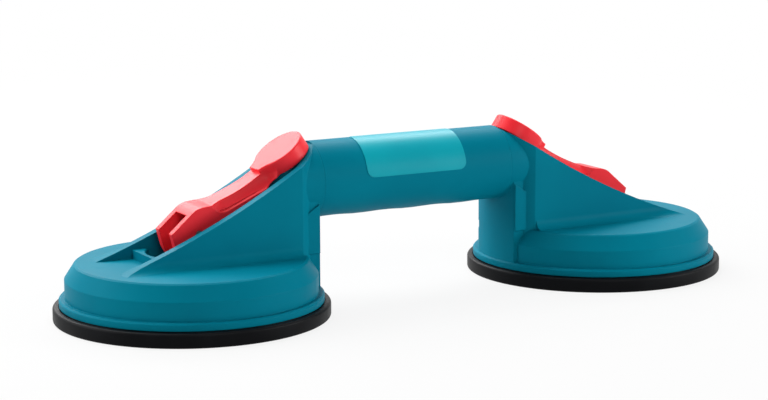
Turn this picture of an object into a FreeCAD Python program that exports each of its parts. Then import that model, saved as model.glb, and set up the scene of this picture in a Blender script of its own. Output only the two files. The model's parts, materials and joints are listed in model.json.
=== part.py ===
import FreeCAD, Part
import Sketcher
import math
import os

# Twin-cup suction lifter for floor tiles and glass sheets.
# Two moulded cup housings stand on rubber pads and are joined by a round grip. In each housing a
# cam lever, pinned to the head of a pull stem, draws the middle of the rubber pad up when the
# lever lies down along its ramp. X runs along the grip, Z is up, and the origin is on the floor
# midway between the two cups. Every piece of a cup is drawn about its own cup axis, with +X
# pointing to the grip, and its Placement then carries it to its cup.

doc = FreeCAD.newDocument("SuctionLifter")
sheet = doc.addObject("Spreadsheet::Sheet", "Sizes")

sizes = {
    # overall
    "cupSpacing": 203.0,      # cup axis to cup axis
    "overcut": 2.0,           # how far a cut runs past the material
    # rubber pad
    "padRadius": 58.5, "padEdge": 6.2, "padRound": 0.7, "padSole": 6.0,
    "padHollow": 4.0, "padWeb": 4.5, "padCrownRadius": 26.0, "padSlope": 5.0,
    "plateRadius": 23.0, "plateThick": 2.0,
    # ring of the housing
    "seatGap": 0.3, "padLip": 2.7, "flangeThick": 3.2, "flangeBevel": 0.7, "flangeWidth": 2.5,
    "wallTop": 17.6, "shoulderRun": 4.4, "shoulderRise": 6.7, "deckBevel": 0.6, "shellWall": 3.0,
    # lever ramp: two cheeks closed behind the paddle, with a cove along their feet
    "cheekHalf": 18.0, "cheekWall": 4.3, "cornerDepth": 11.3, "rampInset": 0.2,
    "frontInset": 11.4, "rampTop": 69.6, "rampSag": 3.5, "cove": 4.5,
    "slopeStart": 20.0, "slopeRise": 21.0,
    # pillar behind the ramp and the grip
    "pillarHalf": 15.0, "pillarInset": 0.8, "gripRadius": 16.6, "gripAxis": 53.7,
    "fingerPitch": 24.8, "fingerWidth": 23.8, "fingerDepth": 1.3,
    # block across the channel and the round well in it, under the cams
    "blockFront": 21.3, "blockTop": 28.2, "wellRadius": 19.2, "wellBevel": 0.5, "wellFloor": 19.3,
    "wearThick": 2.0, "wearFit": 0.25, "wearBore": 5.6,
    # pull stem and its guide
    "stemRadius": 5.0, "stemFit": 0.05, "bushWall": 2.2, "bushFlange": 1.2, "bushFlangeWidth": 1.6,
    "hubWall": 3.0, "hubBottom": 13.6, "footRadius": 8.0, "footThick": 1.5, "tangFlat": 0.3,
    # pivot and cam
    "pinRadius": 1.6, "pinFit": 0.05, "pinInset": 0.25, "camLock": 15.0, "stemTravel": 3.0,
    "leverSwing": 75.0, "camGap": 0.3,
    # lever, its heights counted from the pin
    "leverHalf": 8.75, "slotHalf": 5.4, "noseLength": 6.4, "browBack": 3.6, "browRise": 8.5,
    "browSag": 0.5, "humpStart": 1.8, "humpRise": 11.2, "humpEnd": 6.0, "humpEndRise": 11.6,
    "slotBack": 6.2, "slotTop": 7.8, "heelBack": 11.5, "heelDrop": 2.0, "heelSag": 2.2,
    "neckSag": 1.1, "neckHalf": 5.0, "scoopRadius": 6.5, "scoopStart": 5.0,
    # paddle at the end of the neck
    "paddleSide": 2.0, "paddleThick": 6.4, "paddleTilt": 35.0, "paddleInset": 1.0,
    "paddleGap": 0.9, "paddleBevel": 0.4, "throatRun": 4.8, "throatNarrow": 3.1,
    "throatAngle": 41.0, "throatSag": 0.4, "stepDrop": 1.8,
    # return spring of flat wire
    "springWire": 1.4, "springTurns": 2.5, "springClear": 0.8, "springFit": 0.05,
    # bare label skin on the grip
    "labelLength": 49.0, "labelShift": 1.5, "labelThick": 0.2, "labelFit": 0.03,
    "labelLowAngle": 4.0, "labelFarAngle": 100.0,
}
for row, (name, value) in enumerate(sizes.items(), start=1):
    sheet.set("A%d" % row, name)
    sheet.set("B%d" % row, str(value))
    sheet.setAlias("B%d" % row, name)
doc.recompute()


class Size:
    # a number together with the expression that gives it in the sheet
    def __init__(self, value, text):
        self.value = value
        self.text = text

    def __add__(self, other):
        other = size(other)
        return Size(self.value + other.value, "(%s + %s)" % (self.text, other.text))

    def __sub__(self, other):
        other = size(other)
        return Size(self.value - other.value, "(%s - %s)" % (self.text, other.text))

    def __mul__(self, other):
        other = size(other)
        return Size(self.value * other.value, "(%s * %s)" % (self.text, other.text))

    def __truediv__(self, other):
        other = size(other)
        return Size(self.value / other.value, "(%s / %s)" % (self.text, other.text))

    def __neg__(self):
        return Size(-self.value, "(-1 * %s)" % self.text)

    def __radd__(self, other):
        return size(other) + self

    def __rsub__(self, other):
        return size(other) - self

    def __rmul__(self, other):
        return size(other) * self


def size(item):
    return item if isinstance(item, Size) else Size(float(item), repr(float(item)))


def root(item):
    return Size(math.sqrt(item.value), "sqrt(%s)" % item.text)


def sine(item):
    return Size(math.sin(math.radians(item.value)), "sin(%s)" % item.text)


def cosine(item):
    return Size(math.cos(math.radians(item.value)), "cos(%s)" % item.text)


class Named:
    def __getattr__(self, name):
        return Size(float(sheet.get(name)), "Sizes.%s" % name)


s = Named()


def bind(item, prop, value):
    item.setExpression(prop, size(value).text)


def newBody(label, name):
    body = doc.addObject("PartDesign::Body", name)
    body.Label = label
    return body


def plane(body, role):
    return next(item for item in body.Origin.OriginFeatures if item.Role == role)


def newSketch(body, role, name, move=None, turn=None):
    # move is an offset in the plane's own axes, turn an (axis, angle) about its own axes
    sketch = body.newObject("Sketcher::SketchObject", name)
    sketch.AttachmentSupport = [(plane(body, role), "")]
    sketch.MapMode = "FlatFace"
    offset = FreeCAD.Placement()
    if turn:
        offset.Rotation = FreeCAD.Rotation(FreeCAD.Vector(*turn[0]), size(turn[1]).value)
    if move:
        offset.Base = FreeCAD.Vector(*[size(item).value for item in move])
    sketch.AttachmentOffset = offset
    if turn:
        bind(sketch, "AttachmentOffset.Rotation.Angle", turn[1])
    if move:
        for letter, item in zip("xyz", move):
            if size(item).value:
                bind(sketch, "AttachmentOffset.Base." + letter, item)
    return sketch


def fix(sketch, kind, geo, point, value):
    if size(value).value == 0:
        sketch.addConstraint(Sketcher.Constraint("PointOnObject", geo, point, -2 if kind == "DistanceX" else -1))
        return
    index = sketch.addConstraint(Sketcher.Constraint(kind, -1, 1, geo, point, size(value).value))
    if isinstance(value, Size):
        bind(sketch, "Constraints[%d]" % index, value)


def point(corner):
    return FreeCAD.Vector(size(corner[0]).value, size(corner[1]).value, 0)


def outline(sketch, corners):
    # closed loop: each corner is (x, y), reached by a line, or (x, y, cx, cy), reached by the
    # shorter arc about that centre; a sketch's arcs run anticlockwise, so an arc that the loop
    # takes the other way ends on its own start point
    points = [point(corner) for corner in corners]
    first = sketch.GeometryCount
    count = len(corners)
    ends = []
    for i in range(count):
        start, end = points[i - 1], points[i]
        if len(corners[i]) == 2:
            sketch.addGeometry(Part.LineSegment(start, end), False)
            ends.append(2)
            continue
        centre = FreeCAD.Vector(size(corners[i][2]).value, size(corners[i][3]).value, 0)
        outward = ((start + end) / 2 - centre).normalize()
        middle = centre + outward * (end - centre).Length
        forward = (start - centre).cross(end - centre).z > 0
        sketch.addGeometry(Part.Arc(start, middle, end) if forward else Part.Arc(end, middle, start), False)
        ends.append(2 if forward else 1)
    for i in range(count):
        after = (i + 1) % count
        sketch.addConstraint(Sketcher.Constraint("Coincident", first + i, ends[i], first + after, 3 - ends[after]))
        if len(corners[i]) == 2:
            fix(sketch, "DistanceX", first + i, ends[i], corners[i][0])
            fix(sketch, "DistanceY", first + i, ends[i], corners[i][1])
            continue
        fix(sketch, "DistanceX", first + i, 3, corners[i][2])
        fix(sketch, "DistanceY", first + i, 3, corners[i][3])
        spoke = points[i] - FreeCAD.Vector(size(corners[i][2]).value, size(corners[i][3]).value, 0)
        if abs(spoke.x) > abs(spoke.y):
            fix(sketch, "DistanceY", first + i, ends[i], corners[i][1])
        else:
            fix(sketch, "DistanceX", first + i, ends[i], corners[i][0])


def bow(start, end, sag):
    # centre of the arc from start to end that bulges by sag to the left of the way there
    dx, dy = size(end[0] - start[0]), size(end[1] - start[1])
    chord = root(dx * dx + dy * dy)
    back = chord * chord / (8 * sag) - sag / 2
    return ((start[0] + end[0]) / 2 + dy / chord * back, (start[1] + end[1]) / 2 - dx / chord * back)


def circle(sketch, x, y, radius):
    centre = FreeCAD.Vector(size(x).value, size(y).value, 0)
    geo = sketch.addGeometry(Part.Circle(centre, FreeCAD.Vector(0, 0, 1), size(radius).value), False)
    fix(sketch, "DistanceX", geo, 3, x)
    fix(sketch, "DistanceY", geo, 3, y)
    index = sketch.addConstraint(Sketcher.Constraint("Radius", geo, size(radius).value))
    bind(sketch, "Constraints[%d]" % index, radius)


def roundSlot(sketch, radius, half):
    # disc about the axis with its two sides cut off square
    reach = root(radius * radius - half * half)
    outline(sketch, [
        (-reach, half),
        (-reach, -half, 0, 0),
        (reach, -half),
        (reach, half, 0, 0),
    ])


def sagRadius(chord, sag):
    return (chord * chord / 4 + sag * sag) / (2 * sag)


def pad(body, sketch, length, name, midplane=False, reverse=False):
    feature = body.newObject("PartDesign::Pad", name)
    feature.Profile = sketch
    feature.Midplane = midplane
    feature.Reversed = reverse
    bind(feature, "Length", length)
    sketch.Visibility = False
    doc.recompute()
    return feature


def pocket(body, sketch, length, name, midplane=False, reverse=False):
    before = body.Shape.Volume
    feature = body.newObject("PartDesign::Pocket", name)
    feature.Profile = sketch
    feature.Midplane = midplane
    feature.Reversed = reverse
    bind(feature, "Length", length)
    sketch.Visibility = False
    doc.recompute()
    assert body.Shape.Volume < before - 0.01, name + " cuts nothing"
    return feature


def revolve(body, sketch, name, groove=False):
    feature = body.newObject("PartDesign::Groove" if groove else "PartDesign::Revolution", name)
    feature.Profile = sketch
    feature.ReferenceAxis = (sketch, ["V_Axis"])
    feature.Angle = 360
    sketch.Visibility = False
    doc.recompute()
    return feature


def fillet(body, radius, name, choose):
    # rounds the edges of the body's present shape that choose picks
    base = body.Tip
    names = ["Edge%d" % (i + 1) for i, edge in enumerate(base.Shape.Edges) if choose(edge)]
    assert names, name + " finds no edge"
    feature = body.newObject("PartDesign::Fillet", name)
    feature.Base = (base, names)
    bind(feature, "Radius", radius)
    doc.recompute()
    return feature


def chamfer(body, width, name, choose):
    base = body.Tip
    names = ["Edge%d" % (i + 1) for i, edge in enumerate(base.Shape.Edges) if choose(edge)]
    assert names, name + " finds no edge"
    feature = body.newObject("PartDesign::Chamfer", name)
    feature.Base = (base, names)
    bind(feature, "Size", width)
    doc.recompute()
    return feature


def near(a, b, slack=0.01):
    return abs(size(a).value - size(b).value) < slack


def isArc(edge, radius):
    return isinstance(edge.Curve, Part.Circle) and near(edge.Curve.Radius, radius)


def place(body, side):
    # side -1 is the left cup; the right cup's pieces are turned half round so that +X meets the grip
    body.Placement = FreeCAD.Placement(FreeCAD.Vector(side * s.cupSpacing.value / 2, 0, 0),
                                       FreeCAD.Rotation(FreeCAD.Vector(0, 0, 1), 180 if side > 0 else 0))
    bind(body, "Placement.Base.x", side * s.cupSpacing / 2)
    pieces.append(body)


pieces = []

# radii, heights and lines that several pieces share
flangeRadius = s.padRadius - s.padLip
wallRadius = flangeRadius - s.flangeWidth
deckRadius = wallRadius - s.shoulderRun
deckTop = s.wallTop + s.shoulderRise
flangeBottom = s.padEdge + s.seatGap
flangeTop = flangeBottom + s.flangeThick
pillarBack = flangeRadius - s.pillarInset
rampBack = pillarBack - s.rampInset
rampFront = deckRadius - s.frontInset
cornerReach = rampBack - s.cornerDepth
ceiling = deckTop - s.shellWall
padCrown = s.padHollow + s.padWeb
plateTop = padCrown + s.plateThick
wearTop = s.wellFloor + s.wearThick
pinHeight = wearTop + s.camLock
bushRadius = s.stemRadius + s.stemFit + s.bushWall
gripHalf = s.cupSpacing / 2 - pillarBack
cornerRound = sagRadius(2 * s.cheekHalf, s.cornerDepth)
cornerCentre = rampBack - cornerRound
channelHalf = s.cheekHalf - s.cheekWall
channelRound = cornerRound - s.cheekWall
channelCorner = cornerCentre + root(channelRound * channelRound - channelHalf * channelHalf)
camRate = s.stemTravel * 180 / (math.pi * s.leverSwing)
rimFoot, rimHead = (-rampFront, deckTop), (pillarBack, s.rampTop)
rimCentre = bow(rimFoot, rimHead, -s.rampSag)


def rimAt(reach):
    # height of the rim of the cheeks at this distance from the cup axis
    rise, run = rimHead[1] - rimCentre[1], rimHead[0] - rimCentre[0]
    across = reach - rimCentre[0]
    return rimCentre[1] - root(rise * rise + run * run - across * across)


def addHousing(side, tag):
    body = newBody(tag + "_housing", tag + "Housing")
    wall = s.shellWall
    # round shell: flange, upright wall, sloped shoulder and flat deck over a hollow underside
    ring = newSketch(body, "XZ_Plane", tag + "RingProfile")
    inner = wallRadius - wall
    outline(ring, [
        (bushRadius + s.hubWall, ceiling),
        (bushRadius + s.hubWall, s.hubBottom),
        (bushRadius, s.hubBottom),
        (bushRadius, deckTop),
        (deckRadius - s.deckBevel, deckTop),
        (deckRadius + s.deckBevel * s.shoulderRun / s.shoulderRise, deckTop - s.deckBevel),
        (wallRadius, s.wallTop),
        (wallRadius, flangeTop),
        (flangeRadius - s.flangeBevel, flangeTop),
        (flangeRadius, flangeTop - s.flangeBevel),
        (flangeRadius, flangeBottom),
        (inner, flangeBottom),
        (inner, s.wallTop - wall / 2),
        (deckRadius - wall / 2, ceiling),
    ])
    revolve(body, ring, tag + "Ring")
    # lever ramp, square in front and rounded behind the paddle
    plan = newSketch(body, "XY_Plane", tag + "RampPlan", move=(0, 0, ceiling))
    outline(plan, [
        (-rampFront, s.cheekHalf),
        (-rampFront, -s.cheekHalf),
        (cornerReach, -s.cheekHalf),
        (cornerReach, s.cheekHalf, cornerCentre, 0),
    ])
    pad(body, plan, s.rampTop - ceiling + s.overcut, tag + "Ramp")
    # cove along the outer foot of each cheek
    for way, hand in ((-1, "Near"), (1, "Far")):
        foot = newSketch(body, "YZ_Plane", tag + hand + "CoveEnd", move=(0, 0, -rampFront))
        side1, side2 = way * (s.cheekHalf - s.cheekWall / 2), way * (s.cheekHalf + s.cove)
        outline(foot, [
            (side1, deckTop - wall / 2),
            (side2, deckTop - wall / 2),
            (side2, deckTop),
            (way * s.cheekHalf, deckTop + s.cove, side2, deckTop + s.cove),
            (side1, deckTop + s.cove),
        ])
        outer = s.cheekHalf + s.cove
        pad(body, foot, rampFront + root(deckRadius * deckRadius - outer * outer) - s.deckBevel,
            tag + hand + "Cove")
    # pillar down the back of the cup, flush with the flange, and the stub that carries the grip
    stub = newSketch(body, "YZ_Plane", tag + "StubEnd", move=(0, 0, pillarBack))
    circle(stub, 0, s.gripAxis, s.gripRadius)
    pad(body, stub, pillarBack - cornerCentre, tag + "Stub", reverse=True)
    rim = newSketch(body, "XZ_Plane", tag + "RimLine")
    outline(rim, [
        (-rampFront - s.overcut, deckTop),
        rimFoot,
        rimHead + rimCentre,
        (pillarBack, s.rampTop + 2 * s.overcut),
        (-rampFront - s.overcut, s.rampTop + 2 * s.overcut),
    ])
    pocket(body, rim, 2 * (s.cheekHalf + s.cove + s.overcut), tag + "RimCut", midplane=True)
    pillar = newSketch(body, "XY_Plane", tag + "PillarPlan", move=(0, 0, flangeBottom))
    corner = root(pillarBack * pillarBack - s.pillarHalf * s.pillarHalf)
    outline(pillar, [
        (cornerCentre, s.pillarHalf),
        (cornerCentre, -s.pillarHalf),
        (corner, -s.pillarHalf),
        (corner, s.pillarHalf, 0, 0),
    ])
    pad(body, pillar, s.gripAxis - flangeBottom, tag + "Pillar")
    # channel between the cheeks, level over the cup and rising behind the lever
    floor = newSketch(body, "XY_Plane", tag + "ChannelPlan", move=(0, 0, deckTop))
    outline(floor, [
        (-rampFront - s.overcut, channelHalf),
        (-rampFront - s.overcut, -channelHalf),
        (channelCorner, -channelHalf),
        (channelCorner, channelHalf, cornerCentre, 0),
    ])
    pocket(body, floor, s.rampTop, tag + "Channel", reverse=True)
    slopeEnd = rampBack - s.cheekWall / 2
    slope = newSketch(body, "XZ_Plane", tag + "SlopeSide")
    outline(slope, [
        (s.slopeStart, deckTop),
        (slopeEnd, deckTop),
        (slopeEnd, deckTop + s.slopeRise),
    ])
    pad(body, slope, 2 * channelHalf + s.cheekWall, tag + "Slope", midplane=True)
    # hollow of the pillar, open to the underside
    core = newSketch(body, "XZ_Plane", tag + "CoreSide")
    outline(core, [
        (s.slopeStart + wall, flangeBottom),
        (rampBack - s.cheekWall, flangeBottom),
        (rampBack - s.cheekWall, deckTop + s.slopeRise - 2 * wall),
        (s.slopeStart + wall, ceiling),
    ])
    pocket(body, core, 2 * (s.pillarHalf - wall), tag + "Core", midplane=True)
    # block across the channel, and the round well in it with a thick floor for the cams
    blockRise = s.blockTop - deckTop
    blockBack = s.slopeStart + blockRise / s.slopeRise * (slopeEnd - s.slopeStart)
    block = newSketch(body, "XZ_Plane", tag + "BlockSide")
    outline(block, [
        (-s.blockFront, ceiling),
        (blockBack, ceiling),
        (blockBack, s.blockTop),
        (-s.blockFront, s.blockTop),
    ])
    pad(body, block, 2 * channelHalf + s.cheekWall, tag + "Block", midplane=True)
    boss = newSketch(body, "XY_Plane", tag + "WellBoss", move=(0, 0, s.wellFloor - wall))
    circle(boss, 0, 0, s.wellRadius + wall)
    pad(body, boss, ceiling - s.wellFloor + 2 * wall - s.deckBevel, tag + "WellFloor")
    well = newSketch(body, "XY_Plane", tag + "WellPlan", move=(0, 0, s.blockTop))
    roundSlot(well, s.wellRadius, channelHalf)
    pocket(body, well, s.blockTop - s.wellFloor, tag + "Well")
    chamfer(body, s.wellBevel, tag + "WellBevel",
            lambda edge: isArc(edge, s.wellRadius) and near(edge.BoundBox.ZMin, s.blockTop))
    bore = newSketch(body, "XY_Plane", tag + "GuideBore", move=(0, 0, s.blockTop))
    circle(bore, 0, 0, bushRadius)
    pocket(body, bore, s.blockTop - s.hubBottom + s.overcut, tag + "GuideHole")
    place(body, side)


def addRubberPad(side, tag):
    # soft disc: flat sole round the rim, shallow hollow inside it, thicker crown under the plate
    body = newBody(tag + "_suction_pad", tag + "Pad")
    profile = newSketch(body, "XZ_Plane", tag + "PadProfile")
    soleInner = s.padRadius - s.padRound - s.padSole
    outline(profile, [
        (0, padCrown),
        (0, s.padHollow),
        (soleInner, 0),
        (s.padRadius - s.padRound, 0),
        (s.padRadius, s.padRound),
        (s.padRadius, s.padEdge - s.padRound),
        (s.padRadius - s.padRound, s.padEdge),
        (s.padCrownRadius + s.padSlope, s.padEdge),
        (s.padCrownRadius, padCrown),
    ])
    revolve(body, profile, tag + "PadDisc")
    place(body, side)


def addPadPlate(side, tag):
    body = newBody(tag + "_pad_plate", tag + "Plate")
    disc = newSketch(body, "XY_Plane", tag + "PlatePlan", move=(0, 0, padCrown))
    circle(disc, 0, 0, s.plateRadius)
    pad(body, disc, s.plateThick, tag + "PlateDisc")
    place(body, side)


def addStem(side, tag):
    # round stem on a foot, flattened to a tang with a half-round head about the pin
    body = newBody(tag + "_pull_stem", tag + "Stem")
    profile = newSketch(body, "XZ_Plane", tag + "StemProfile")
    head = pinHeight + s.stemRadius
    outline(profile, [
        (0, head),
        (0, plateTop),
        (s.footRadius, plateTop),
        (s.footRadius, plateTop + s.footThick),
        (s.stemRadius, plateTop + s.footThick),
        (s.stemRadius, head),
    ])
    revolve(body, profile, tag + "StemTurned")
    past = s.stemRadius + s.overcut
    crown = newSketch(body, "XZ_Plane", tag + "StemHead")
    outline(crown, [
        (-s.stemRadius, pinHeight),
        (0, head, 0, pinHeight),
        (s.stemRadius, pinHeight, 0, pinHeight),
        (past, pinHeight),
        (past, head + s.overcut),
        (-past, head + s.overcut),
        (-past, pinHeight),
    ])
    pocket(body, crown, 2 * past, tag + "HeadRound", midplane=True)
    flats = newSketch(body, "YZ_Plane", tag + "StemFlats")
    low = pinHeight - 2 * s.stemRadius
    for way in (-1, 1):
        outline(flats, [
            (way * (s.stemRadius - s.tangFlat), low),
            (way * past, low),
            (way * past, head + s.overcut),
            (way * (s.stemRadius - s.tangFlat), head + s.overcut),
        ])
    pocket(body, flats, 2 * past, tag + "Tang", midplane=True)
    eye = newSketch(body, "XZ_Plane", tag + "StemEye")
    circle(eye, 0, pinHeight, s.pinRadius + s.pinFit)
    pocket(body, eye, 2 * past, tag + "Eye", midplane=True)
    place(body, side)


def addBush(side, tag):
    body = newBody(tag + "_stem_bush", tag + "Bush")
    profile = newSketch(body, "XZ_Plane", tag + "BushProfile")
    inner = s.stemRadius + s.stemFit
    outer = bushRadius
    outline(profile, [
        (inner, s.wellFloor),
        (inner, s.hubBottom - s.bushFlange),
        (outer + s.bushFlangeWidth, s.hubBottom - s.bushFlange),
        (outer + s.bushFlangeWidth, s.hubBottom),
        (outer, s.hubBottom),
        (outer, s.wellFloor),
    ])
    revolve(body, profile, tag + "BushTurned")
    place(body, side)


def addWearPlate(side, tag):
    body = newBody(tag + "_wear_plate", tag + "Wear")
    plan = newSketch(body, "XY_Plane", tag + "WearPlan", move=(0, 0, s.wellFloor))
    roundSlot(plan, s.wellRadius - s.wearFit, channelHalf - s.wearFit)
    circle(plan, 0, 0, s.wearBore)
    pad(body, plan, s.wearThick, tag + "WearSheet")
    place(body, side)


def addPin(side, tag):
    body = newBody(tag + "_pivot_pin", tag + "Pin")
    end = newSketch(body, "XZ_Plane", tag + "PinEnd")
    circle(end, 0, pinHeight, s.pinRadius)
    pad(body, end, 2 * (s.leverHalf - s.pinInset), tag + "PinRod", midplane=True)
    place(body, side)


def camPoint(turn):
    # where the cam meets the wear plate when the lever has turned by this angle from its lock:
    # its reach below the pin falls evenly with the angle, so the stem sinks evenly too
    reach = s.camLock - s.camGap - s.stemTravel * turn / s.leverSwing
    return (camRate * cosine(turn) - reach * sine(turn),
            pinHeight - reach * cosine(turn) - camRate * sine(turn))


def addLever(side, tag):
    body = newBody(tag + "_cam_lever", tag + "Lever")
    # the paddle's bottom edge hangs just over the back of the rim, and its round top face is
    # placed from there
    swing, tilt = s.leverSwing, s.paddleTilt
    radius = channelHalf - s.paddleSide
    edge = rampBack - s.paddleInset
    centre = (edge - radius * cosine(tilt) - s.paddleThick * sine(tilt),
              rimAt(edge) + s.paddleGap - radius * sine(tilt) + s.paddleThick * cosine(tilt))

    def inPaddle(along, depth):
        # a point of the side view, along the paddle's face from its centre and below the face
        return (centre[0] + along * cosine(tilt) + depth * sine(tilt),
                centre[1] + along * sine(tilt) - depth * cosine(tilt))

    joinX, joinY = radius * cosine(s.throatAngle), radius * sine(s.throatAngle)
    throatReach = joinX + s.throatRun
    # side outline: cam, flat nose that stops the lever, slope, hump, neck and the paddle's root
    locked, halfway, released = camPoint(size(0)), camPoint(swing / 2), camPoint(swing)
    firstSag = (s.camLock - s.camGap - s.stemTravel / 4) * (1 - cosine(swing / 4))
    lastSag = (s.camLock - s.camGap - s.stemTravel * 3 / 4) * (1 - cosine(swing / 4))
    nose = (released[0] - s.noseLength * cosine(swing), released[1] + s.noseLength * sine(swing))
    brow = (-s.browBack, pinHeight + s.browRise)
    hump = (s.humpStart, pinHeight + s.humpRise)
    humpEnd = (s.humpEnd, pinHeight + s.humpEndRise)
    neckEnd = inPaddle(-throatReach, s.stepDrop)
    heel = (s.heelBack, pinHeight - s.heelDrop)
    rootBack = s.overcut - root(radius * radius - s.leverHalf * s.leverHalf)
    profile = newSketch(body, "XZ_Plane", tag + "LeverSide")
    outline(profile, [
        locked + bow(heel, locked, s.heelSag),
        halfway + bow(locked, halfway, firstSag),
        released + bow(halfway, released, lastSag),
        nose,
        brow,
        hump + bow(brow, hump, s.browSag),
        humpEnd,
        neckEnd + bow(humpEnd, neckEnd, -s.neckSag),
        inPaddle(rootBack, s.stepDrop),
        inPaddle(rootBack, s.paddleThick - s.paddleBevel),
        heel,
    ])
    pad(body, profile, 2 * s.leverHalf, tag + "LeverBlock", midplane=True)
    # a round-ended scoop down each side leaves the neck narrow above and wide below
    start = (s.scoopStart, pinHeight + s.humpEndRise)
    run, rise = neckEnd[0] - start[0], neckEnd[1] - start[1]
    length = root(run * run + rise * rise)

    def along(distance, up):
        return (start[0] + (distance * run - up * rise) / length,
                start[1] + (distance * rise + up * run) / length)

    for way, hand in ((-1, "Near"), (1, "Far")):
        scoop = newSketch(body, "XZ_Plane", tag + hand + "ScoopLine",
                          move=(0, 0, -way * (s.neckHalf + s.scoopRadius)))
        outline(scoop, [
            start,
            along(s.scoopRadius, s.scoopRadius) + along(s.scoopRadius, size(0)),
            along(length, s.scoopRadius),
            along(length + s.scoopRadius, size(0)) + along(length, size(0)),
        ])
        # the axis is drawn after the closed outline
        line = scoop.addGeometry(Part.LineSegment(point(start), point(along(length, size(0)))), True)
        for end, corner in ((1, start), (2, along(length, size(0)))):
            fix(scoop, "DistanceX", line, end, corner[0])
            fix(scoop, "DistanceY", line, end, corner[1])
        before = body.Shape.Volume
        cut = body.newObject("PartDesign::Groove", tag + hand + "Scoop")
        cut.Profile = scoop
        cut.ReferenceAxis = (scoop, ["Axis0"])
        cut.Angle = 360
        scoop.Visibility = False
        doc.recompute()
        assert body.Shape.Volume < before - 1, tag + hand + "Scoop cuts nothing"
    # round paddle, tilted a little steeper than the ramp, with a throat that runs into the neck
    disc = newSketch(body, "XY_Plane", tag + "PaddlePlan", move=(centre[0], 0, centre[1]),
                     turn=((0, -1, 0), tilt))
    throatHalf = joinY - s.throatNarrow
    mouth, join = (-throatReach, -throatHalf), (-joinX, -joinY)
    mirrored = bow(mouth, join, s.throatSag)
    outline(disc, [
        (-throatReach, throatHalf),
        mouth,
        join + mirrored,
        (radius, 0, 0, 0),
        (-joinX, joinY, 0, 0),
        (-throatReach, throatHalf, mirrored[0], -mirrored[1]),
    ][1:])
    pad(body, disc, s.paddleThick, tag + "Paddle", reverse=True)
    face = FreeCAD.Vector(centre[0].value, 0, centre[1].value)
    lean = FreeCAD.Vector(-sine(tilt).value, 0, cosine(tilt).value)
    chamfer(body, s.paddleBevel, tag + "PaddleBevel", lambda edge: isArc(edge, radius)
            and all(abs((corner.Point - face).dot(lean)) < 0.01 for corner in edge.Vertexes))
    # slot between the two cams for the stem's head, open below and in front
    slot = newSketch(body, "XZ_Plane", tag + "SlotSide")
    top = pinHeight + s.slotTop
    outline(slot, [
        (-2 * s.camLock, pinHeight - 2 * s.camLock),
        (s.slotBack, pinHeight - 2 * s.camLock),
        (s.slotBack, top - s.slotBack),
        (0, top, 0, top - s.slotBack),
        (-2 * s.camLock, top),
    ])
    pocket(body, slot, 2 * s.slotHalf, tag + "Slot", midplane=True)
    hole = newSketch(body, "XZ_Plane", tag + "PinHole")
    circle(hole, 0, pinHeight, s.pinRadius)
    pocket(body, hole, 2 * (s.leverHalf + s.overcut), tag + "PinBore", midplane=True)
    place(body, side)


def addSpring(side, tag):
    # coil round the hub, squeezed between the pad plate and the floor of the well; each half turn
    # is an arc in a plane tilted by its rise, so that the halves meet in line
    body = newBody(tag + "_return_spring", tag + "Spring")
    mean = bushRadius + s.hubWall + s.springClear + s.springWire / 2
    low = plateTop + s.springFit + s.springWire / 2
    high = s.wellFloor - s.shellWall - s.springFit - s.springWire / 2
    halves = round(2 * s.springTurns.value)
    rise = (high - low) / halves
    for half in range(halves):
        way = 1 if half % 2 == 0 else -1
        wire = newSketch(body, "XZ_Plane", "%sWire%d" % (tag, half))
        near1, far1 = way * (mean - s.springWire / 2), way * (mean + s.springWire / 2)
        under, over = low + half * rise - s.springWire / 2, low + half * rise + s.springWire / 2
        outline(wire, [(near1, under), (far1, under), (far1, over), (near1, over)])
        middle = low + (half + 0.5) * rise
        tip = (way * rise / 2, middle + mean)
        axis = wire.addGeometry(Part.LineSegment(point((0, middle)), point(tip)), True)
        fix(wire, "DistanceX", axis, 1, 0)
        fix(wire, "DistanceY", axis, 1, middle)
        fix(wire, "DistanceX", axis, 2, tip[0])
        fix(wire, "DistanceY", axis, 2, tip[1])
        turn = body.newObject("PartDesign::Revolution", "%sHalfTurn%d" % (tag, half))
        turn.Profile = wire
        turn.ReferenceAxis = (wire, ["Axis0"])
        turn.Angle = 180
        wire.Visibility = False
        doc.recompute()
    place(body, side)


def addGrip():
    body = newBody("grip", "Grip")
    end = newSketch(body, "YZ_Plane", "GripEnd")
    circle(end, 0, s.gripAxis, s.gripRadius)
    pad(body, end, 2 * gripHalf, "GripBar", midplane=True)
    # shallow finger rests along the underside
    finger = newSketch(body, "XZ_Plane", "FingerSide")
    fingerRound = sagRadius(s.fingerWidth, s.fingerDepth)
    circle(finger, -1.5 * s.fingerPitch, s.gripAxis - s.gripRadius + s.fingerDepth - fingerRound, fingerRound)
    rest = pocket(body, finger, 2 * (s.gripRadius + s.overcut), "FingerRest", midplane=True)
    row = body.newObject("PartDesign::LinearPattern", "FingerRow")
    row.Originals = [rest]
    row.Direction = (finger, ["H_Axis"])
    bind(row, "Length", 3 * s.fingerPitch)
    row.Occurrences = 4
    body.Tip = row
    doc.recompute()
    pieces.append(body)


def addLabel():
    # bare skin wrapped from the front of the grip up and over its top
    body = newBody("grip_label", "Label")
    band = newSketch(body, "YZ_Plane", "LabelBand", move=(0, 0, -s.labelShift))
    inner = s.gripRadius + s.labelFit
    outer = inner + s.labelThick

    def at(radius, angle):
        return (-radius * cosine(angle), s.gripAxis + radius * sine(angle))

    outline(band, [
        at(inner, s.labelLowAngle) + (0, s.gripAxis),
        at(outer, s.labelLowAngle),
        at(outer, s.labelFarAngle) + (0, s.gripAxis),
        at(inner, s.labelFarAngle),
    ])
    pad(body, band, s.labelLength, "LabelSkin", midplane=True)
    pieces.append(body)


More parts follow.
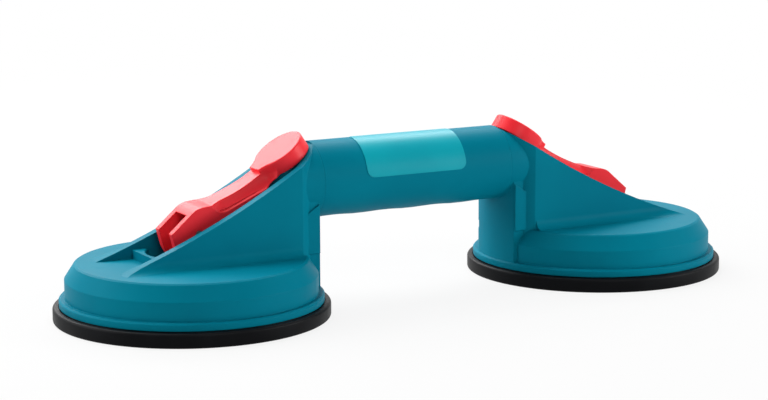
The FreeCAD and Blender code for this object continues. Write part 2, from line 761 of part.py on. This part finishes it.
makers = (addHousing, addRubberPad, addPadPlate, addStem, addBush, addWearPlate, addPin, addLever, addSpring)
for side, tag in ((-1, "left"), (1, "right")):
    for make in makers:
        make(side, tag)
addGrip()
addLabel()

doc.recompute()
broken = [item.Label for item in doc.Objects if "Invalid" in item.State or "Error" in item.State]
assert not broken, "failed: " + ", ".join(broken)
os.makedirs("parts", exist_ok=True)
for piece in pieces:
    shape = piece.Shape
    assert not shape.isNull() and shape.isValid() and len(shape.Solids) == 1, piece.Label
    box = shape.BoundBox
    print("%-20s %8.1f mm3  x %.1f..%.1f  y %.1f..%.1f  z %.1f..%.1f" % (
        piece.Label, shape.Volume, box.XMin, box.XMax, box.YMin, box.YMax, box.ZMin, box.ZMax))
    shape.exportStep("parts/%s.step" % piece.Label)
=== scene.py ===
import json
import math

import bmesh
import bpy
from mathutils import Matrix, Vector


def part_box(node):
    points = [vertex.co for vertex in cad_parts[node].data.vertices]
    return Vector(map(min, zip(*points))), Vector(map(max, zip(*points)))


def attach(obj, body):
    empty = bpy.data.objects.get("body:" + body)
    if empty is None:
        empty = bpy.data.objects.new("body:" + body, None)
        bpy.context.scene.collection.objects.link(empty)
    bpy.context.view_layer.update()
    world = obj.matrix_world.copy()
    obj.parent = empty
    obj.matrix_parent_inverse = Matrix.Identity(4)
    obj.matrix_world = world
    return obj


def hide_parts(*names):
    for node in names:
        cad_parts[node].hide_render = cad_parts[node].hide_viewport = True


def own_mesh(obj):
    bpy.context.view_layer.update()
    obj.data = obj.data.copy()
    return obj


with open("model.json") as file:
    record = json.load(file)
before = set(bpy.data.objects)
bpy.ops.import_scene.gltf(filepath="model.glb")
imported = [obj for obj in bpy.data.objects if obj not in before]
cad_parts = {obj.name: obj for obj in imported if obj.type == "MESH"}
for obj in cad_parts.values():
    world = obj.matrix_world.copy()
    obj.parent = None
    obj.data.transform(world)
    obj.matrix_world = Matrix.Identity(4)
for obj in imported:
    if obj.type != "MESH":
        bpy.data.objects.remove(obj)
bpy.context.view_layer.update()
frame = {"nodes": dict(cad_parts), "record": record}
scene = bpy.context.scene
scene.view_settings.view_transform = "Standard"


# camera: angles in degrees, metres, lens and sensor in millimetres
camera = {"azimuth": -28.58, "elevation": 10.16, "distance": 0.92486, "roll": -0.29,
          "target": (-0.00928, 0.0, 0.04122), "lens": 98.635, "sensor": 36.0}


def placeCamera():
    az, el, roll = (math.radians(camera[name]) for name in ("azimuth", "elevation", "roll"))
    back = Vector((math.sin(az) * math.cos(el), -math.cos(az) * math.cos(el), math.sin(el)))
    right = (-back).cross(Vector((0, 0, 1))).normalized()
    up = right.cross(-back)
    side = right * math.cos(roll) + up * math.sin(roll)
    top = up * math.cos(roll) - right * math.sin(roll)
    data = bpy.data.cameras.new("camera")
    data.lens, data.sensor_width = camera["lens"], camera["sensor"]
    data.clip_start, data.clip_end = 0.01, 20
    eye = bpy.data.objects.new("camera", data)
    scene.collection.objects.link(eye)
    eye.matrix_world = Matrix((side, top, back)).transposed().to_4x4()
    eye.location = Vector(camera["target"]) + back * camera["distance"]
    scene.camera = eye


placeCamera()
print("camera placed")


class Value:
    # a socket's output; an expression on it adds Math nodes
    def __init__(self, look, socket):
        self.look, self.socket = look, socket

    def math(self, operation, first, second):
        return self.look.add("Math", {"operation": operation}, {0: first, 1: second})

    def __add__(self, other):
        return self.math("ADD", self, other)

    def __mul__(self, other):
        return self.math("MULTIPLY", self, other)

    __radd__, __rmul__ = __add__, __mul__

    def most(self, other):
        return self.math("MAXIMUM", self, other)


class Look:
    # one node tree, of a material or of the world
    def __init__(self, owner):
        owner.use_nodes = True
        self.owner, self.tree = owner, owner.node_tree
        self.tree.nodes.clear()

    def add(self, kind, settings=None, inputs=None, output=0):
        node = self.tree.nodes.new("ShaderNode" + kind)
        for key, value in (settings or {}).items():
            setattr(node, key, value)
        for key, value in (inputs or {}).items():
            if isinstance(value, Value):
                self.tree.links.new(value.socket, node.inputs[key])
            else:
                node.inputs[key].default_value = value
        return Value(self, node.outputs[output]) if node.outputs else None

    def place(self, stretch=(1, 1, 1)):
        return self.add("Mapping", {}, {"Vector": self.add("TexCoord", output=3), "Scale": stretch})

    def noise(self, scale, detail=4.0, rough=0.55, stretch=(1, 1, 1)):
        return self.add("TexNoise", {}, {"Vector": self.place(stretch), "Scale": scale, "Detail": detail,
                                         "Roughness": rough})

    def band(self, value, low, high):
        return self.add("MapRange", {"interpolation_type": "SMOOTHSTEP"},
                        {"Value": value, "From Min": low, "From Max": high})

    def mix(self, share, first, second):
        return self.add("Mix", {"data_type": "RGBA"}, {0: share, 6: (*first, 1), 7: (*second, 1)}, output=2)

    def bump(self, height, distance, strength=1.0, base=None):
        inputs = {"Height": height, "Distance": distance, "Strength": strength}
        return self.add("Bump", {}, inputs if base is None else {**inputs, "Normal": base})

    def seenWhite(self):
        # 1 for the rays that show the white background: seen straight, mirrored or through glass
        names = ("Is Camera Ray", "Is Glossy Ray", "Is Transmission Ray")
        camera, glossy, through = (self.add("LightPath", output=name) for name in names)
        return camera.most(glossy).most(through)

    def output(self, surface, kind="OutputMaterial"):
        self.add(kind, {}, {"Surface": surface})
        return self.owner

    def plastic(self, **inputs):
        named = {name.replace("_", " "): value for name, value in inputs.items()}
        return self.output(self.add("BsdfPrincipled", {}, named))


# finishes: colours are linear, noise scales are per metre, depths and edges in metres
teal = {"name": "tealPlastic", "colour": (0.0, 0.175, 0.255), "pale": (0.0, 0.195, 0.28), "rough": 0.42,
        "grain": 900.0, "peel": 0.00002, "shine": 0.03, "edge": 0.0005}
red = {"name": "redPlastic", "colour": (0.93, 0.022, 0.034), "pale": (0.96, 0.032, 0.046), "rough": 0.36,
       "grain": 1100.0, "peel": 0.00002, "shine": 0.2, "edge": 0.0006}
rubber = {"colour": (0.0006, 0.0009, 0.0016), "bloom": (0.003, 0.0034, 0.0045), "rough": 0.42,
          "grain": 1500.0, "grainDeep": 0.00003, "clouds": 60.0, "cloudRough": 0.12, "shine": 0.07}
steel = {"colour": (0.34, 0.34, 0.35), "dark": (0.2, 0.2, 0.21), "rough": 0.36, "streaks": 420.0,
         "streakDeep": 0.00001, "streakRough": 0.16}
nylon = {"colour": (0.8, 0.8, 0.76), "dark": (0.72, 0.71, 0.66), "rough": 0.45, "clouds": 240.0,
         "cloudDeep": 0.00001, "cloudRough": 0.1}
film = {"colour": (0.0, 0.33, 0.41), "pale": (0.0, 0.36, 0.44), "rough": 0.34, "shine": 0.14,
        "clouds": 45.0, "cloudRough": 0.05, "grain": 2200.0, "grainDeep": 0.000006}

moulding = {"swirls": 28.0, "swirlRough": 0.03, "rubs": 160.0, "rubRough": 0.07,
            "peelShare": 0.35, "refraction": 1.45}


def mouldedPlastic(sizes):
    # slow swirls from the moulding, a fine grain and a few dull rubbed patches
    look = Look(bpy.data.materials.new(sizes["name"]))
    flow = look.band(look.noise(moulding["swirls"], 3.0, 0.5), 0.3, 0.7)
    swirled = flow * moulding["swirlRough"]
    rubbed = look.band(look.noise(moulding["rubs"], 6.0, 0.65, (1, 1, 0.3)), 0.55, 0.75)
    return look.plastic(Base_Color=look.mix(flow, sizes["colour"], sizes["pale"]),
                        Roughness=rubbed * moulding["rubRough"] + swirled + sizes["rough"],
                        IOR=moulding["refraction"], Specular_IOR_Level=sizes["shine"],
                        Normal=look.bump(look.noise(sizes["grain"], 2.0, 0.5), sizes["peel"],
                                         moulding["peelShare"],
                                         look.add("Bevel", {"samples": 8}, {"Radius": sizes["edge"]})))


def mouldedRubber():
    look = Look(bpy.data.materials.new("padRubber"))
    cloud = look.band(look.noise(rubber["clouds"], 5.0, 0.6), 0.35, 0.75)
    return look.plastic(Base_Color=look.mix(cloud, rubber["colour"], rubber["bloom"]),
                        Roughness=cloud * rubber["cloudRough"] + rubber["rough"], IOR=1.5,
                        Specular_IOR_Level=rubber["shine"],
                        Normal=look.bump(look.noise(rubber["grain"], 3.0, 0.6), rubber["grainDeep"], 0.5))


def platedSteel():
    look = Look(bpy.data.materials.new("platedSteel"))
    streak = look.noise(steel["streaks"], 4.0, 0.6, (1, 1, 0.08))
    return look.plastic(Base_Color=look.mix(look.band(streak, 0.3, 0.7), steel["colour"], steel["dark"]),
                        Metallic=1.0, Roughness=streak * steel["streakRough"] + steel["rough"],
                        Normal=look.bump(streak, steel["streakDeep"], 0.4))


def turnedNylon():
    look = Look(bpy.data.materials.new("guideNylon"))
    cloud = look.noise(nylon["clouds"], 4.0, 0.6)
    return look.plastic(Base_Color=look.mix(cloud, nylon["colour"], nylon["dark"]),
                        Roughness=cloud * nylon["cloudRough"] + nylon["rough"],
                        Normal=look.bump(cloud, nylon["cloudDeep"], 0.5))


def bareFilm():
    look = Look(bpy.data.materials.new("labelFilm"))
    cloud = look.band(look.noise(film["clouds"], 3.0, 0.5), 0.3, 0.7)
    return look.plastic(Base_Color=look.mix(cloud, film["colour"], film["pale"]),
                        Roughness=cloud * film["cloudRough"] + film["rough"],
                        Specular_IOR_Level=film["shine"],
                        Normal=look.bump(look.noise(film["grain"], 2.0, 0.5), film["grainDeep"], 0.4))


finishes = {"teal_plastic": mouldedPlastic(teal), "red_plastic": mouldedPlastic(red),
            "rubber": mouldedRubber(), "steel": platedSteel(),
            "guide_plastic": turnedNylon(), "label_film": bareFilm()}
for part in frame["record"]["subparts"]:
    slots = frame["nodes"][part["node"]].data.materials
    slots.clear()
    slots.append(finishes[part["material_slot"]])
print("finishes made")


def newPiece(name, points, faces, slotName, body, *nodes, crease=32):
    mesh = bpy.data.meshes.new(name)
    mesh.from_pydata(points, [], faces)
    tidy = bmesh.new()
    tidy.from_mesh(mesh)
    bmesh.ops.remove_doubles(tidy, verts=tidy.verts, dist=1e-7)
    bmesh.ops.recalc_face_normals(tidy, faces=tidy.faces)
    tidy.to_mesh(mesh)
    tidy.free()
    mesh.shade_smooth()
    mesh.set_sharp_from_angle(angle=math.radians(crease))
    mesh.materials.append(finishes[slotName])
    piece = bpy.data.objects.new(name, mesh)
    scene.collection.objects.link(piece)
    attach(piece, body)
    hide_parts(*nodes)
    return piece


def arc(centre, radius, start, end, steps):
    # points of an arc in a section, from one angle to another in degrees
    return [(centre[0] + radius * math.cos(math.radians(start + (end - start) * i / steps)),
             centre[1] + radius * math.sin(math.radians(start + (end - start) * i / steps)))
            for i in range(steps + 1)]


def turned(section, centre, steps):
    # a closed section of (radius, height) turned round an upright axis
    points, faces = [], []
    for i in range(steps):
        turn = 2 * math.pi * i / steps
        points += [(centre[0] + r * math.cos(turn), centre[1] + r * math.sin(turn), z) for r, z in section]
    count = len(section)
    for i in range(steps):
        for j in range(count):
            a, b = i * count + j, i * count + (j + 1) % count
            c, d = ((i + 1) % steps) * count + (j + 1) % count, ((i + 1) % steps) * count + j
            faces.append((a, b, c, d))
    return points, faces


# rubber pads: a firm rim that stays with the housing and a web, which the stem draws up on the real cup; here
# the web stays with the frame too
padShape = {"edge": 0.0062, "topRound": 0.0012, "lowRound": 0.0009, "lip": 0.0007, "lipInset": 0.0026,
            "rimInner": 0.0505, "soleWidth": 0.006, "ribs": 3, "ribDeep": 0.0005,
            "soleStep": 0.0002, "lipSlope": 0.0002, "lipWide": 0.0006, "webDrop": 0.0001,
            "crown": 0.026, "crownFoot": 0.031, "hollow": 0.004, "stroke": 0.003, "steps": 160}


def addPad(tag):
    node = tag + "_suction_pad"
    low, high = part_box(node)
    centre = ((low[0] + high[0]) / 2, (low[1] + high[1]) / 2)
    radius, top = (high[0] - low[0]) / 2, high[2]
    edge, inner = padShape["edge"], padShape["rimInner"]
    soleOut = radius - padShape["lowRound"]
    soleIn = soleOut - padShape["soleWidth"]
    # rim, from its inner foot outwards: ribbed sole, rounded side, a thin lip line on the top
    section = [(inner, padShape["soleStep"]), (soleIn, 0.0)]
    pitch = padShape["soleWidth"] / (2 * padShape["ribs"] + 1)
    for i in range(padShape["ribs"]):
        start = soleIn + pitch * (2 * i + 1)
        section += [(start, 0.0), (start + pitch * 0.2, padShape["ribDeep"]),
                    (start + pitch * 0.8, padShape["ribDeep"]), (start + pitch, 0.0)]
    section += arc((soleOut, padShape["lowRound"]), padShape["lowRound"], -90, 0, 4)
    topRound = padShape["topRound"]
    section += arc((radius - topRound, edge - topRound), topRound, 0, 90, 6)
    lip = radius - padShape["lipInset"]
    lipIn, slope, webTop = lip - padShape["lipWide"], padShape["lipSlope"], edge - padShape["webDrop"]
    section += [(lip + slope, edge), (lip, edge - padShape["lip"]), (lipIn, edge - padShape["lip"]),
                (lipIn - slope, webTop), (inner, webTop)]
    newPiece(tag + "PadRim", *turned(section, centre, padShape["steps"]), "rubber", "frame", node)
    # web and crown, with the shallow hollow under them
    hollow = padShape["hollow"]
    section = [(0.0, hollow), (inner, hollow * (1 - inner / soleIn) + padShape["webDrop"]),
               (inner, webTop), (padShape["crownFoot"], edge), (padShape["crown"], top), (0.0, top)]
    web = newPiece(tag + "PadWeb", *turned(section, centre, padShape["steps"]), "rubber", "frame", node)
    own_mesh(web)


for tag in ("left", "right"):
    addPad(tag)
print("pads made")


# levers: the neck's side scoops run out into flat slopes, as a moulded lever has them.
# Places are along the lever and up, from its pin
leverShape = {"scoopFrom": (0.01098, 0.01414), "scoopTo": (0.03041, 0.02241), "scoopRadius": 0.0065,
              "neckHalf": 0.005, "sideHalf": 0.00875, "keptHollow": 0.12, "hollowFrom": 0.3, "hollowBy": 0.75,
              "near": 0.00006, "crease": 20}


def slopedSide(along, side, up):
    # where a point of the scooped side moves to across the lever; any other point stays
    first, last = Vector(leverShape["scoopFrom"]), Vector(leverShape["scoopTo"])
    run, spot = last - first, Vector((along, up))
    share = max(0.0, min(1.0, (spot - first).dot(run) / run.length_squared))
    away = (spot - first - run * share).length
    radius, neck = leverShape["scoopRadius"], leverShape["neckHalf"]
    if away >= radius:
        return side
    hollow = neck + radius - math.sqrt(radius ** 2 - away ** 2)
    if abs(abs(side) - hollow) > leverShape["near"] or hollow > leverShape["sideHalf"]:
        return side
    deepest = math.sqrt(radius ** 2 - (neck + radius - leverShape["sideHalf"]) ** 2)
    slope = neck + (leverShape["sideHalf"] - neck) * away / deepest
    # the hollow comes back towards the paddle
    rise = (share - leverShape["hollowFrom"]) / (leverShape["hollowBy"] - leverShape["hollowFrom"])
    kept = max(leverShape["keptHollow"], min(1.0, rise))
    return math.copysign(slope + (hollow - slope) * kept, side)


def addLever(tag, way):
    node = tag + "_cam_lever"
    low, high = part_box(tag + "_pivot_pin")
    pin = [(a + b) / 2 for a, b in zip(low, high)]
    source = frame["nodes"][node]
    corners = [source.matrix_world @ vertex.co for vertex in source.data.vertices]
    points = [(x, slopedSide(way * (x - pin[0]), y, z - pin[2]), z) for x, y, z in corners]
    faces = [tuple(polygon.vertices) for polygon in source.data.polygons]
    lever = newPiece(tag + "LeverBody", points, faces, "red_plastic", tag + "_lever", node,
                     crease=leverShape["crease"])
    lever.modifiers.new("evenShade", "WEIGHTED_NORMAL").keep_sharp = True


for tag, way in (("left", 1), ("right", -1)):
    addLever(tag, way)
print("levers made")


# bare film on the grip: round the bar from the front over the top, with rounded corners
labelShape = {"corner": 0.0035, "thick": 0.0002, "rows": 40, "columns": 6, "proud": 0.00003}


def addLabel():
    low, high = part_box("grip_label")
    gripLow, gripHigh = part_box("grip")
    radius = (gripHigh[1] - gripLow[1]) / 2 + labelShape["proud"]
    axis = gripHigh[2] - (gripHigh[1] - gripLow[1]) / 2
    outer = radius + labelShape["thick"]
    first = math.asin((low[2] - axis) / radius)
    last = math.pi - math.acos(max(-1.0, min(1.0, high[1] / outer)))
    length = (last - first) * radius
    middle, half, corner = (low[0] + high[0]) / 2, (high[0] - low[0]) / 2, labelShape["corner"]
    rows = []
    for i in range(labelShape["rows"] + 1):
        # rows close up towards the two ends, where the corners are
        share = (1 - math.cos(math.pi * i / labelShape["rows"])) / 2
        along = share * length
        near = min(along, length - along)
        inset = corner - math.sqrt(max(0.0, corner ** 2 - (corner - near) ** 2)) if near < corner else 0.0
        rows.append((first + along / radius, half - inset))
    columns = labelShape["columns"]
    points, faces = [], []
    for depth in (radius, outer):
        for angle, wide in rows:
            for k in range(columns + 1):
                points.append((middle + wide * (2 * k / columns - 1), -depth * math.cos(angle),
                               axis + depth * math.sin(angle)))
    count = columns + 1
    skin = len(rows) * count
    for i in range(len(rows) - 1):
        for k in range(columns):
            a = i * count + k
            faces += [(a, a + 1, a + count + 1, a + count),
                      (a + skin, a + count + skin, a + count + 1 + skin, a + 1 + skin)]
        for k in (0, columns):
            a = i * count + k
            faces.append((a, a + count, a + count + skin, a + skin))
    for i in (0, len(rows) - 1):
        for k in range(columns):
            a = i * count + k
            faces.append((a, a + 1, a + 1 + skin, a + skin))
    newPiece("gripFilm", points, faces, "label_film", "frame", "grip_label")


addLabel()
print("label made")


# studio: soft light from above, behind and both sides, a weak lamp in front
studio = {"fill": 0.1, "floorGlow": 0.86, "farGlow": 0.14, "floorTone": (0.62, 0.62, 0.62),
          "floorFleck": (0.6, 0.6, 0.6), "floorSize": 6.0,
          "nearReach": 0.3, "farReach": 0.9}
lamps = {
    # name: place, aim, width, height, watts
    "overhead": ((-0.25, 0.5, 1.05), (0, 0, 0.03), 1.1, 0.8, 13.5),
    "backRight": ((0.8, 0.95, 1.1), (0, 0, 0.05), 0.7, 0.5, 10.0),
    "behind": ((-0.1, 1.3, 0.8), (0, 0, 0.04), 1.0, 0.5, 11.0),
    "leftSide": ((-1.2, 0.5, 0.45), (0, 0, 0.04), 0.8, 0.6, 8.0),
    "rightSide": ((1.2, -0.9, 0.4), (0, 0, 0.04), 0.7, 0.6, 13.0),
    "front": ((-0.2, -1.3, 0.75), (0, 0, 0.04), 0.6, 0.5, 4.5),
}


def makeStudio():
    scene.world = bpy.data.worlds.new("studio")
    air = Look(scene.world)
    dim = air.add("Background", {}, {"Color": (1, 1, 1, 1), "Strength": studio["fill"]})
    bright = air.add("Background", {}, {"Color": (1, 1, 1, 1), "Strength": 1.0})
    air.output(air.add("MixShader", {}, {0: air.seenWhite(), 1: dim, 2: bright}), "OutputWorld")

    half = studio["floorSize"] / 2
    mesh = bpy.data.meshes.new("floor")
    corners = [(-half, -half, 0), (half, -half, 0), (half, half, 0), (-half, half, 0)]
    mesh.from_pydata(corners, [], [(0, 1, 2, 3)])
    floor = bpy.data.objects.new("floor", mesh)
    scene.collection.objects.link(floor)
    look = Look(bpy.data.materials.new("paleFloor"))
    tone = look.mix(look.noise(40.0, 4.0, 0.6), studio["floorTone"], studio["floorFleck"])
    matte = look.add("BsdfDiffuse", {}, {"Color": tone})
    glow = look.add("Emission", {}, {"Color": (1, 1, 1, 1), "Strength": 1.0})
    reach = look.add("VectorMath", {"operation": "LENGTH"}, {0: look.place()}, output=1)
    far = look.band(reach, studio["nearReach"], studio["farReach"])
    share = far * studio["farGlow"] + studio["floorGlow"]
    mesh.materials.append(look.output(
        look.add("MixShader", {}, {0: look.seenWhite() * share, 1: matte, 2: glow})))

    for name, (place, aim, width, height, watts) in lamps.items():
        data = bpy.data.lights.new(name, "AREA")
        data.shape, data.size, data.size_y, data.energy = "RECTANGLE", width, height, watts
        lamp = bpy.data.objects.new(name, data)
        scene.collection.objects.link(lamp)
        lamp.location = place
        lamp.rotation_euler = (Vector(aim) - Vector(place)).to_track_quat("-Z", "Y").to_euler()


makeStudio()
print("studio lit")
